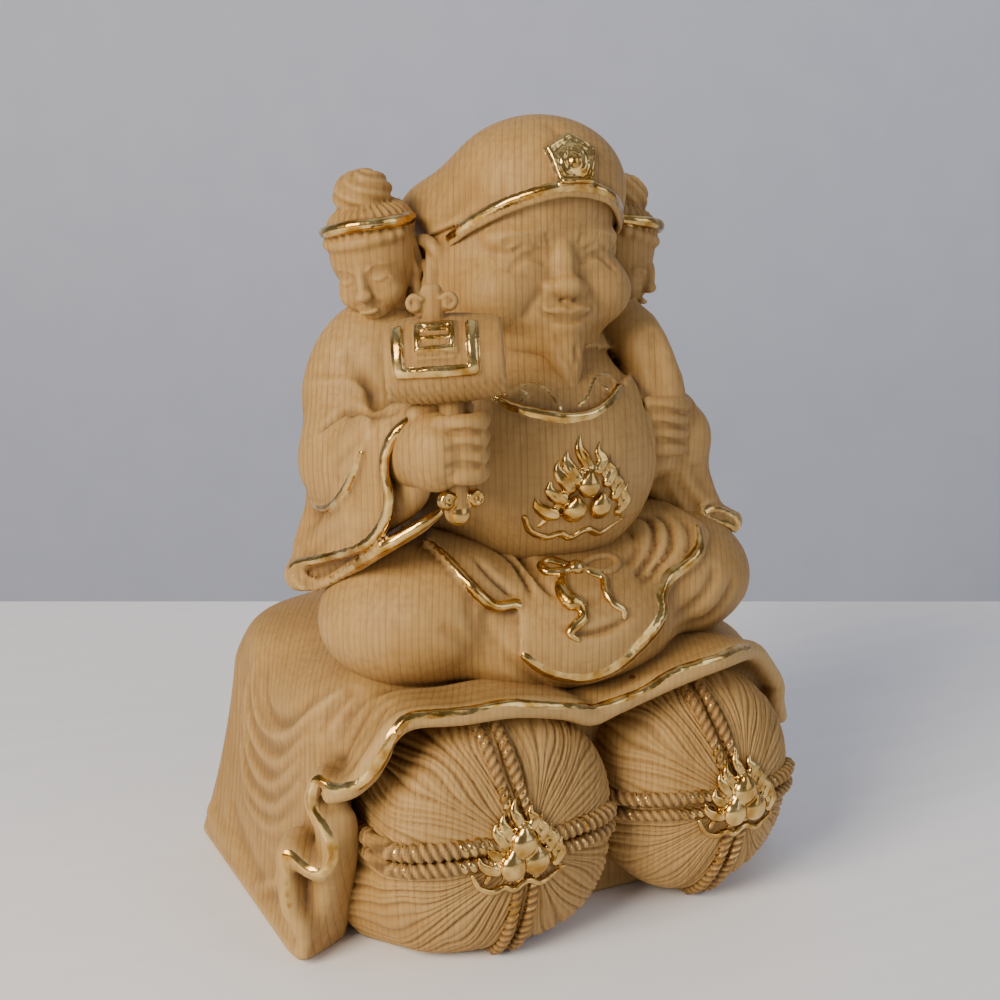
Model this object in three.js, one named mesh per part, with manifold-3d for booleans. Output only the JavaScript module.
// A seated god of fortune with a small head at each shoulder, carved with its two rice bales and their
// cloth from one block of cypress. Millimetres, +Z up, the figure faces -Y, and the origin is the middle
// of the flat underside. Every form is a closed geometry, and all of them are joined into one solid.
import * as THREE from "three";
import { mergeVertices } from "three/addons/utils/BufferGeometryUtils.js";
import Module from "manifold-3d";

const wasm = await Module();
wasm.setup();

// Driving dimensions.
const FIGURE_HEIGHT = 100; // from the cloth the figure sits on to the top of the cap
const BALE_RADIUS = 24.4; // a rice bale, round its straw
const BALE_SPACING = 46.6; // between the axes of the two bales
const BALE_SHIFT = 3.4; // the pair of bales lies a little to the left hand of the figure above it
const BALE_FRONT = 42.4; // how far the straw domes reach forward of the origin
const BALE_DOME = 15; // how deep a dome is, from its middle to where the barrel starts
const CLOTH_THICKNESS = 2.2; // the cloth over the bales
const CLOTH_FOOT_WIDTH = 112; // across the flared hem on the floor
const CLOTH_FRONT = 25; // where the hanging sides of the cloth end, forward of the origin
const CLOTH_BACK = 45.4; // where the flared hem ends behind
const CLOTH_OVERHANG = 15; // how far the cloth's top runs forward over the bales
const HAIRLINE = 87.4; // the cap's band over the brow, above the seat
const CHIN = 58.8; // the underside of the chin, above the seat
const HEAD_HALF_WIDTH = 18.6; // the face, without its ears
const MALLET_LENGTH = 19.8;
const MALLET_RADIUS = 7.5;

const FOOT_SINK = 0.5; // the straw is cut this flat where it meets the floor
const BALE_AXIS_Z = BALE_RADIUS - FOOT_SINK;
const SEAT_Z = BALE_AXIS_Z + BALE_RADIUS + CLOTH_THICKNESS;
const baleX = (side) => BALE_SHIFT + (side * BALE_SPACING) / 2;
const WOOD = new THREE.MeshStandardMaterial({ color: 0xc9a273, roughness: 0.62, metalness: 0 });

const v3 = (p) => new THREE.Vector3(...p);
const smooth = (t) => t * t * (3 - 2 * t);
const mix = (a, b, t) => a + (b - a) * t;
const sides = [-1, 1];

// A closed geometry as a solid that can be joined or cut.
function solid(geometry) {
  const bare = geometry.clone();
  bare.deleteAttribute("normal");
  bare.deleteAttribute("uv");
  const merged = mergeVertices(bare, 1e-4);
  return new wasm.Manifold(
    new wasm.Mesh({
      numProp: 3,
      vertProperties: merged.attributes.position.array,
      triVerts: new Uint32Array(merged.index.array),
    }),
  );
}

// Moves every vertex of a geometry to where the function puts it.
function reshape(geometry, place) {
  const at = geometry.attributes.position;
  const p = new THREE.Vector3();
  for (let i = 0; i < at.count; i++) {
    p.fromBufferAttribute(at, i);
    at.setXYZ(i, ...place(p).toArray());
  }
  return geometry;
}

// A turn about X, then Y, then Z in degrees, followed by a move.
function pose([x, y, z], turn = [0, 0, 0]) {
  const [rx, ry, rz] = turn.map(THREE.MathUtils.degToRad);
  return new THREE.Matrix4().makeRotationFromEuler(new THREE.Euler(rx, ry, rz, "ZYX")).setPosition(x, y, z);
}

// How many flats run round a form of this radius.
const flats = (radius) => Math.max(5, Math.round(2.8 * Math.sqrt(radius)));

// An ellipsoid: centre, half sizes, and turns about X, Y and Z in degrees.
function egg(centre, halves, turn) {
  const around = flats(Math.max(halves[0], halves[1]));
  const rows = Math.max(3, Math.round(flats(Math.max(...halves)) * 0.5));
  const g = new THREE.SphereGeometry(1, around, rows);
  g.rotateX(Math.PI / 2);
  g.scale(...halves);
  return g.applyMatrix4(pose(centre, turn));
}

// A fuller egg, whose sides stand up straighter. The function can push a point of its skin out or in.
function fullEgg(centre, halves, { around, rows, fullness = 2.5, push = () => 0 }) {
  const g = new THREE.SphereGeometry(1, around, rows).rotateX(Math.PI / 2);
  return reshape(g, (p) => {
    const ring = Math.max(Math.hypot(p.x, p.y), 1e-3);
    const full = ring > 0.01 ? (1 - Math.abs(p.z) ** fullness) ** (1 / fullness) : 0;
    const way = new THREE.Vector3(p.x / ring, p.y / ring, 0);
    const at = new THREE.Vector3(way.x * full, way.y * full, p.z).multiply(v3(halves)).add(v3(centre));
    return at.addScaledVector(way, push(at, way) * full);
  });
}

// A round-ended limb, fold, finger or hem along a smooth curve. Its radius runs through the given list.
function limb(points, radii, { rows = 5, flat = 1, up = [0, 0, 1], blunt = 4 } = {}) {
  const curve = new THREE.CatmullRomCurve3(points.map(v3));
  const upward = v3(up);
  const around = Math.max(3, Math.round(3 * Math.sqrt(Math.max(...radii))));
  const g = new THREE.SphereGeometry(1, around, rows);
  return reshape(g, (p) => {
    const along = Math.acos(THREE.MathUtils.clamp(-p.y, -1, 1)) / Math.PI;
    const ring = Math.hypot(p.x, p.z);
    const angle = Math.atan2(p.z, p.x);
    const place = along * (radii.length - 1);
    const step = Math.min(Math.floor(place), radii.length - 2);
    const radius = mix(radii[step], radii[step + 1], smooth(place - step));
    const end = ring < 1e-6 ? 0 : (1 - Math.abs(2 * along - 1) ** blunt) ** (1 / blunt);
    const tangent = curve.getTangent(along);
    const side = new THREE.Vector3().crossVectors(tangent, upward).normalize();
    const over = new THREE.Vector3().crossVectors(side, tangent).normalize();
    return curve
      .getPoint(along)
      .addScaledVector(side, Math.cos(angle) * radius * end)
      .addScaledVector(over, Math.sin(angle) * radius * end * flat);
  });
}

// A flat plate with this outline in X and Z, from the plane y = 0 forward, put in its place.
function plaque(outline, thickness, place) {
  const shape = new THREE.Shape(outline.map(([x, z]) => new THREE.Vector2(x, z)));
  const g = new THREE.ExtrudeGeometry(shape, { depth: thickness, bevelEnabled: false, curveSegments: 6 });
  g.rotateX(Math.PI / 2);
  return g.applyMatrix4(place);
}

// The point on the front of some forms at this x and z, sunk a little, so that what is carved there stays on.
const eye = new THREE.Raycaster();
const skin = new THREE.MeshBasicMaterial({ side: THREE.DoubleSide });
function onFront(forms, x, z, sink = 0) {
  eye.set(new THREE.Vector3(x, -300, z), new THREE.Vector3(0, 1, 0));
  const hits = eye.intersectObjects(
    forms.map((form) => new THREE.Mesh(form, skin)),
    false,
  );
  return [x, hits[0].point.y + sink, z];
}

// A raised line, hem or fold that follows the front of some forms through these x and z.
function lineOn(forms, path, radii, options = {}) {
  const curve = new THREE.SplineCurve(path.map(([x, z]) => new THREE.Vector2(x, z)));
  const steps = path.length + 1;
  const points = curve.getPoints(steps).map(({ x, y }) => onFront(forms, x, y, options.sink ?? 0.15));
  return limb(points, radii, { rows: steps, ...options });
}

// Half the width, and the depth behind, of the draped cloth at a height given as a share of the seat's.
function clothSection(share) {
  const flare = (1 - share) ** 1.7;
  const shoulder = Math.sqrt(Math.max(0, 1 - (share * 0.985) ** 9));
  return {
    half: (CLOTH_FOOT_WIDTH / 2) * (0.87 + 0.13 * flare) * mix(0.74, 1, shoulder),
    back: CLOTH_BACK * (0.93 + 0.07 * flare) * mix(0.8, 1, shoulder),
  };
}

// The cloth hangs to the floor behind and on both sides, in folds that deepen towards the hem.
function drapedCloth() {
  const g = new THREE.CylinderGeometry(1, 1, 1, 28, 3);
  g.rotateX(Math.PI / 2);
  return reshape(g, (p) => {
    const share = p.z + 0.5;
    const { half, back } = clothSection(share);
    const angle = Math.atan2(p.y, p.x);
    const ring = Math.hypot(p.x, p.y);
    const square = (c) => (Math.abs(c) < 1e-6 ? 0 : Math.sign(c) * Math.abs(c) ** 0.22);
    const hangs = Math.sin(angle) > -0.5 ? 1 : 0;
    const fold = 1 - hangs * 0.02 * (1 - share) * (1 - Math.cos(angle * 7.5 - Math.PI / 2));
    const depth = Math.sin(angle) > 0 ? back : CLOTH_FRONT;
    return new THREE.Vector3(
      ring * half * square(Math.cos(angle)) * fold,
      ring * depth * square(Math.sin(angle)) * fold,
      share * SEAT_Z,
    );
  });
}

// Where a hanging side ends in front, its hem runs down in a zigzag of three folds.
function zigzag(side) {
  const half = CLOTH_FOOT_WIDTH / 2;
  const outline = [
    [half - 16, SEAT_Z - 3],
    [half - 9, SEAT_Z - 9],
    [half - 3.5, SEAT_Z - 14],
    [half - 6, SEAT_Z - 23],
    [half, SEAT_Z - 31],
    [half - 5, SEAT_Z - 40],
    [half - 4, 0],
    [half - 9, 0],
  ].map(([x, z]) => [side * x, z]);
  return plaque(outline, 7, pose([0, -CLOTH_FRONT + 6, 0]));
}

// The front of the cloth's top lies over both bales like an awning and sags a little between them.
function awning() {
  const reach = BALE_SPACING / 2 + BALE_RADIUS * 1.06;
  const g = new THREE.BoxGeometry(2, 1, 1, 12, 2, 1);
  return reshape(g, (p) => {
    const forward = 0.5 - p.y;
    const x = p.x * reach;
    const corner = Math.abs(p.x) ** 5;
    const y = mix(-CLOTH_FRONT + 14, -CLOTH_FRONT - CLOTH_OVERHANG + 16 * corner, forward);
    const fall = 15 * corner + 1.4 * forward ** 3;
    const sag = 2.4 * forward * Math.exp(-(((x - BALE_SHIFT) / 7) ** 2));
    const top = SEAT_Z - fall - sag;
    return new THREE.Vector3(x, y, p.z > 0 ? top : top - 3.6 - 6 * (1 - forward));
  });
}

// A straw bale: a barrel with a fluted dome in front. Its straw runs to the middle of the dome.
function bale(side) {
  const around = 24;
  const rows = 4;
  const profile = [];
  for (let i = 0; i <= rows; i++) {
    const t = (i / rows) * (Math.PI / 2);
    const radius = i ? BALE_RADIUS * Math.sin(t) ** 0.8 : 0;
    profile.push(new THREE.Vector2(radius, BALE_DOME * (1 - Math.cos(t) ** 1.15)));
  }
  profile.push(new THREE.Vector2(0, BALE_DOME + 4));
  const g = new THREE.LatheGeometry(profile, around);
  reshape(g, (p) => {
    const ring = Math.hypot(p.x, p.z);
    const angle = Math.atan2(p.z, p.x);
    const straw = Math.cos((angle * around) / 2) * 0.4 * Math.min(1, ring / 12);
    const grow = 1 + straw / BALE_RADIUS;
    return new THREE.Vector3(p.x * grow, p.y - straw * 0.6, p.z * grow);
  });
  g.translate(baleX(side), -BALE_FRONT, BALE_AXIS_Z);
  return g;
}

// The rope round a bale crosses the dome from side to side and from top to bottom.
function baleRopes(side, dome) {
  const x = baleX(side);
  const z = BALE_AXIS_Z;
  const far = BALE_RADIUS * 0.93;
  const rope = { rows: 5, flat: 0.7, sink: 0.3 };
  const across = [[x - far, z], [x, z], [x + far, z]];
  const upright = [[x, z - far], [x, z], [x, z + far]];
  return [
    lineOn([dome], across, [2.2, 2.2], rope),
    lineOn([dome], upright, [2.2, 2.2], { ...rope, up: [1, 0, 0] }),
  ];
}

// Three jewels in a crown of flames, the sign of good fortune. Size is the height of the flames.
function flamingJewels(size, place) {
  const outline = [];
  const tongues = 5;
  for (let i = 0; i <= tongues; i++) {
    const t = i / tongues;
    const angle = mix(-0.3, Math.PI + 0.3, t);
    const reach = 0.36 + 0.2 * Math.sin(Math.PI * t) ** 2;
    outline.push([Math.cos(angle) * reach * size, Math.sin(angle) * reach * size]);
    if (i === tongues) break;
    const tipAngle = angle + (Math.PI + 0.6) / tongues / 2;
    const tipReach = 0.5 + 0.24 * Math.sin(Math.PI * (t + 0.5 / tongues)) ** 2;
    outline.push([Math.cos(tipAngle) * tipReach * size, Math.sin(tipAngle) * tipReach * size]);
  }
  const ball = 0.165 * size;
  const balls = [
    [0, 0.26],
    [-0.17, -0.03],
    [0.17, -0.03],
  ].map(([x, z]) => egg([x * size, -1.2, z * size], [ball, ball, ball]).applyMatrix4(place));
  return [plaque(outline, 2.6, place.clone().multiply(pose([0, 1.4, 0]))), ...balls];
}

// Legs folded under the robe, the skirt between them, a fold over each thigh, and the two hems.
function legsAndSkirt() {
  const forms = [
    ...sides.map((side) => egg([side * 25, -11, 11], [20.4, 18.5, 14], [0, side * 8, side * 18])),
    egg([0, -12, 9], [30, 22.5, 14], [12, 0, 0]),
    fullEgg([0, 7, 9], [34, 25, 15], { around: 14, rows: 6 }),
  ];
  const lines = sides.map((side) =>
    lineOn(forms, [[side * 34, 13], [side * 27, 7], [side * 17, 4.6]], [0.6, 1.8, 0.6]),
  );
  const overRobe = sides.map((side) => {
    const path = [[side * 28, 20], [side * 24, 17.4], [side * 17, 15], [side * 17.6, 8]];
    return lineOn(forms, path, [0.8, 1.1, 1.1, 0.8]);
  });
  const lowerHem = lineOn(
    forms,
    [[-17.6, 8], [-14, 4.4], [-8, 2.4], [0, 1.8], [8, 3], [15, 7], [22, 12], [29, 17.5]],
    [0.8, 1.1, 1.1, 0.8],
  );
  return [...forms, ...lines, ...overRobe, lowerHem];
}

// The belly under its apron, the bow below it, and the back.
function trunk(lap) {
  const belly = fullEgg([0, -7, 37.4], [24, 22.5, 21.6], { around: 15, rows: 8, fullness: 2.15 });
  const forms = [belly, egg([0, 4, 37], [27, 21, 27])];
  const front = [...forms, ...lap];
  const bow = sides.flatMap((side) => {
    const loop = [[0, 19.4], [side * 3, 20.6], [side * 6.4, 18.6]];
    const tail = [[side * 1.2, 18.4], [side * 3.6, 14.5], [side * 3, 11.5], [side * 5, 8]];
    return [
      lineOn(front, loop, [1, 2, 1.3], { sink: 0.6 }),
      lineOn(front, tail, [1, 1.2, 1], { sink: 0.3 }),
    ];
  });
  const [, knotY] = onFront(front, 0, 19.4);
  const [, flamesY] = onFront(forms, 0, 34);
  return [
    ...forms,
    lineOn(forms, [[-16, 54], [-10, 50], [0, 48.4], [10, 50], [16, 54]], [0.9, 1.2, 0.9]),
    ...bow,
    egg([0, knotY, 19.4], [1.8, 1.8, 1.8]),
    ...flamingJewels(15.5, pose([0, flamesY + 0.8, 34])),
  ];
}

// The raised right arm. Its wide sleeve hangs open from the wrist to a tip below the elbow.
function rightArm() {
  const mouth = [
    [-36.5, -31, 50],
    [-38.8, -29, 42],
    [-38.6, -25, 32],
    [-39.6, -14, 22.6],
    [-46.6, -1, 16.4],
  ];
  const under = [
    [-46.6, -1, 16.4],
    [-38.4, -7, 17.4],
    [-32, -18, 25],
    [-26, -27, 34],
  ];
  const bag = [
    [-32, -26, 38],
    [-34, -16, 29],
    [-38, -6, 23],
    [-45, 0, 17.6],
  ];
  return [
    egg([-27, 3, 50], [12, 12, 16], [0, 24, 0]),
    egg([-33, -1, 38], [11.4, 12, 12]),
    egg([-33, -17, 41], [9, 17, 8.6], [-24, 0, 4]),
    limb(bag, [7, 9, 6.5, 3], { rows: 7, up: [1, 0, 0] }),
    limb(mouth, [1.2, 1.6, 1.2], { rows: 7 }),
    limb(under, [1.2, 1.6, 1.2], { rows: 6 }),
  ];
}

// The left arm, bent to hold the neck of the sack against the chest.
function leftArm() {
  const fingers = [0, 1, 2, 3].map((i) => {
    const z = 47 - 2.9 * i;
    const path = [[31.5, -16, z], [25.5, -20.4, z + 0.4], [19.4, -21, z + 1]];
    return limb(path, [1.8, 1.9, 1.6], { rows: 3 });
  });
  return [
    egg([26, 3, 50], [11.6, 12, 15], [0, -24, 0]),
    egg([32, -2, 37], [10.6, 11, 11]),
    egg([30, -12, 39], [7.6, 8.6, 7]),
    limb([[29, -11, 33], [34, -11, 25], [39, -12, 20.6], [43.5, -13, 19.6]], [8, 8, 4.6, 2.2], { rows: 7 }),
    limb([[38.6, -14, 30], [37, -17.8, 23], [43, -13.2, 19.6]], [0.9, 1.3, 0.9], { rows: 5 }),
    ...fingers,
  ];
}

// The sack over the left shoulder: its twisted neck in front, its full belly on the back.
function sack() {
  const neck = [
    [24, -17, 37],
    [26, -15, 48],
    [25, -7, 60],
    [20, 7, 62],
  ];
  const folds = (at, way) => 0.7 * Math.cos(7 * Math.atan2(way.y, way.x));
  return [
    limb(neck, [4.4, 5.2, 6.4, 8], { rows: 8 }),
    fullEgg([11, 19, 40], [21, 17, 22.5], { around: 14, rows: 7, push: folds }),
  ];
}

// The lucky mallet, lying level above the fist that holds its handle.
function mallet() {
  const half = MALLET_LENGTH / 2;
  const outline = [
    [0, -1],
    [0.84, -1],
    [0.95, -0.7],
    [1.08, -0.62],
    [0.98, -0.54],
    [0.98, 0.54],
    [1.08, 0.62],
    [0.95, 0.7],
    [0.84, 1],
    [0, 1],
  ].map(([r, y]) => new THREE.Vector2(r * MALLET_RADIUS, y * half));
  const place = pose([-30.4, -33.6, 59.8], [0, 2, -27]);
  const barrel = new THREE.LatheGeometry(outline, 12).rotateZ(-Math.PI / 2).applyMatrix4(place);
  const panel = plaque(
    [
      [-4.2, 0.6],
      [4.2, 0.6],
      [3.6, 6.4],
      [-3.6, 6.4],
    ],
    2,
    place.clone().multiply(pose([0, -MALLET_RADIUS + 1.6, 0], [-16, 0, 0])),
  );
  const handle = new THREE.CylinderGeometry(2, 2, 30, 6).rotateX(Math.PI / 2);
  handle.applyMatrix4(pose([-28.2, -34.6, 47.6], [5, -6, 0]));
  const foot = pose([-26.8, -36, 33.6]);
  const top = pose([-30.2, -32.6, 68.2], [0, 0, -27]);
  return [
    barrel,
    panel,
    handle,
    egg([0, 0, 0], [2.4, 1.8, 2]).applyMatrix4(foot),
    ...sides.map((side) => egg([side * 2.6, 0, 1], [1.7, 1.5, 1.7]).applyMatrix4(foot)),
    egg([0, 0, 0.6], [2.6, 1.6, 4]).applyMatrix4(top),
    ...sides.map((side) => egg([side * 2.6, 0, 0.4], [1.8, 1.5, 1.8]).applyMatrix4(top)),
  ];
}

// The fist round the mallet's handle, four fingers one above another.
function fist() {
  const fingers = [0, 1, 2, 3].map((i) => {
    const z = 50 - 3.4 * i;
    const path = [[-33, -38.6, z + 0.2], [-27.5, -40.4, z], [-24, -36.4, z - 0.2]];
    return limb(path, [2, 2.2, 1.9], { rows: 3 });
  });
  return [egg([-30, -35.2, 45.2], [7.2, 7.4, 7.8]), ...fingers];
}

// The main head, one egg that swells at the cheeks and the mouth. The face follows the rule of thirds
// between the hairline and the chin.
function head() {
  const third = (HAIRLINE - CHIN) / 3;
  const brow = HAIRLINE - third;
  const noseBase = brow - third;
  const eyeLine = brow - third * 0.34;
  const mouthLine = noseBase - third * 0.36;
  const bump = (x, z, atX, atZ, size) =>
    Math.exp(-(((Math.abs(x) - atX) / size) ** 2) - ((z - atZ) / size) ** 2);
  const skull = fullEgg([0, -2, 73], [HEAD_HALF_WIDTH, 17.6, 17.5], {
    around: 16,
    rows: 10,
    push: ({ x, z }, way) =>
      Math.max(0, -way.y) * (2 * bump(x, z, 8.6, noseBase - 1, 5) + 2.4 * bump(x, z, 0, mouthLine - 1, 6)),
  });
  const forms = [skull, egg([0, -10, CHIN + 5], [10.6, 9.6, 6])];
  const raised = (path, radii, sink) => lineOn(forms, path, radii, { sink });
  const [, noseY] = onFront(forms, 0, noseBase + 2);
  const [, chinY] = onFront(forms, 0, CHIN + 3);
  const browPath = (side) => [[side * 3, brow - 1.2], [side * 7, brow + 0.8], [side * 12, brow - 1.6]];
  const lidPath = (side) => [[side * 3.6, eyeLine], [side * 7, eyeLine + 1], [side * 10.6, eyeLine]];
  const beard = [[0, chinY + 2, CHIN + 3], [0, chinY - 2.4, CHIN - 3], [0, -27.6, 48.4]];
  const lips = [[-5.4, mouthLine + 1.4], [0, mouthLine - 0.2], [5.4, mouthLine + 1.4]];
  const features = [
    egg([0, noseY - 0.4, noseBase + 3], [2.1, 2.6, 4.4], [-12, 0, 0]),
    egg([0, noseY, noseBase + 1], [3.6, 1.9, 1.4]),
    ...sides.map((side) => raised(browPath(side), [0.8, 1.4, 0.8])),
    ...sides.map((side) => raised(lidPath(side), [0.6, 1, 0.6])),
    raised(lips, [0.6, 1.5, 0.6], -0.2),
    egg([0, chinY, CHIN + 2.6], [3.4, 2.4, 2.6]),
    limb(beard, [4, 3.2, 0.8], { blunt: 3 }),
  ];
  const ears = sides.flatMap((side) => {
    const rim = [
      [17, -6, 76],
      [19, -4, 79.4],
      [20, -0.5, 76],
      [19.4, -3, 68],
      [19, -4.6, 62],
    ].map(([x, y, z]) => [side * x, y, z]);
    return [limb(rim, [1.4, 1.7, 1.9, 1.8, 2.2], { rows: 6 }), egg([side * 19, -4.4, 60.6], [2.4, 3.2, 4])];
  });
  return [...forms, ...features, ...ears];
}

// The soft cap: a puffed bag that leans back, a band over the brow and a five-sided badge.
function cap() {
  const crown = egg([0, -4.6, 88.4], [20, 20.4, 12.8], [-14, 0, 0]);
  const puff = egg([0, 7.4, 87], [19.8, 19, 9.6], [-32, 0, 0]);
  const half = [
    [0, -24, HAIRLINE],
    [9, -21.4, HAIRLINE - 0.9],
    [16.4, -13, HAIRLINE - 4],
    [18.6, -3, HAIRLINE - 8],
  ];
  const mirrored = half.slice(1).map(([x, y, z]) => [-x, y, z]);
  const band = limb([...mirrored.reverse(), ...half], [0.9, 1.4, 1.4, 0.9], { rows: 10 });
  const [, badgeY] = onFront([crown], 0, 93);
  const place = pose([0, badgeY, 93], [-8, 0, 0]);
  const outline = [
    [0, 5.4],
    [4.8, 2.6],
    [3.6, -4.8],
    [-3.6, -4.8],
    [-4.8, 2.6],
  ];
  return [
    crown,
    puff,
    band,
    plaque(outline, 5.4, place.clone().multiply(pose([0, 4.4, 0]))),
    egg([0, -0.8, 0], [2.2, 1.6, 2.8]).applyMatrix4(place),
  ];
}

// A small head that looks out over one shoulder, turned in one profile with its headband and top-knot.
function sideHead(side) {
  const place = pose([side * 28, 6, 72.4], [10, 0, side * 43]);
  const profile = [
    [0, -15],
    [6.4, -12],
    [5.4, -9],
    [7.6, -4.6],
    [8.4, 1],
    [8.1, 5.4],
    [9, 7.2],
    [7.8, 9.2],
    [3.6, 13],
    [5.2, 16.4],
    [3.4, 19.8],
    [0, 20.6],
  ].map(([r, z]) => new THREE.Vector2(r, z));
  const face = reshape(new THREE.LatheGeometry(profile, 12).rotateX(Math.PI / 2), ({ x, y, z }) => {
    const jaw = Math.exp(-(((z + 6) / 4) ** 2));
    return new THREE.Vector3(x, y * 1.06 - (y < 0 ? 1.4 * jaw : 0), z);
  });
  const bar = (path, radii) => lineOn([face], path, radii, { rows: 4 });
  const [, noseY] = onFront([face], 0.1, -2.4);
  return [
    face,
    egg([0, noseY + 0.3, -1.6], [1.1, 1.5, 2.2], [-12, 0, 0]),
    bar([[-2.8, -5.4], [0.1, -6], [2.8, -5.4]], [0.5, 0.8, 0.5]),
    ...sides.flatMap((way) => [
      bar([[way * 1.6, 1.2], [way * 3.6, 2], [way * 5.6, 1.2]], [0.4, 0.8, 0.4]),
      egg([way * 8, 0.8, -2.6], [1.5, 2.2, 5.6]),
    ]),
  ].map((form) => form.applyMatrix4(place));
}

// The base, in millimetres.
function base() {
  const domes = sides.map(bale);
  const fronts = domes.map((dome, i) => onFront([dome], baleX(sides[i]) + 0.2, BALE_AXIS_Z));
  return [
    drapedCloth(),
    awning(),
    ...sides.map(zigzag),
    ...domes,
    ...sides.flatMap((side, i) => baleRopes(side, domes[i])),
    ...fronts.flatMap(([x, y, z]) => flamingJewels(14.5, pose([x, y + 0.2, z - 1]))),
  ];
}

// The figure, laid out in hundredths of its height from the seat up, then scaled and set in its place.
function figure() {
  const place = new THREE.Matrix4()
    .makeTranslation(0, 0, SEAT_Z)
    .scale(new THREE.Vector3().setScalar(FIGURE_HEIGHT / 101));
  const lap = legsAndSkirt();
  return [
    ...lap,
    ...trunk(lap),
    ...rightArm(),
    ...leftArm(),
    ...sack(),
    ...mallet(),
    ...fist(),
    ...head(),
    ...cap(),
    ...sides.flatMap(sideHead),
  ].map((form) => form.applyMatrix4(place));
}

// Base and figure as one block, sawn flat at the floor.
function carving() {
  const below = new THREE.BoxGeometry(4 * CLOTH_FOOT_WIDTH, 4 * CLOTH_FOOT_WIDTH, SEAT_Z);
  below.translate(0, 0, -SEAT_Z / 2);
  return wasm.Manifold.union([...base(), ...figure()].map(solid)).subtract(solid(below));
}

// A solid as a named mesh.
function meshOf(name, made, material) {
  const { vertProperties, triVerts } = made.getMesh();
  const geometry = new THREE.BufferGeometry();
  geometry.setAttribute("position", new THREE.BufferAttribute(vertProperties, 3));
  geometry.setIndex(new THREE.BufferAttribute(triVerts, 1));
  geometry.computeVertexNormals();
  const mesh = new THREE.Mesh(geometry, material);
  mesh.name = name;
  return mesh;
}

const statue = new THREE.Group();
statue.add(meshOf("daikoku_figure", carving(), WOOD));
export default statue;
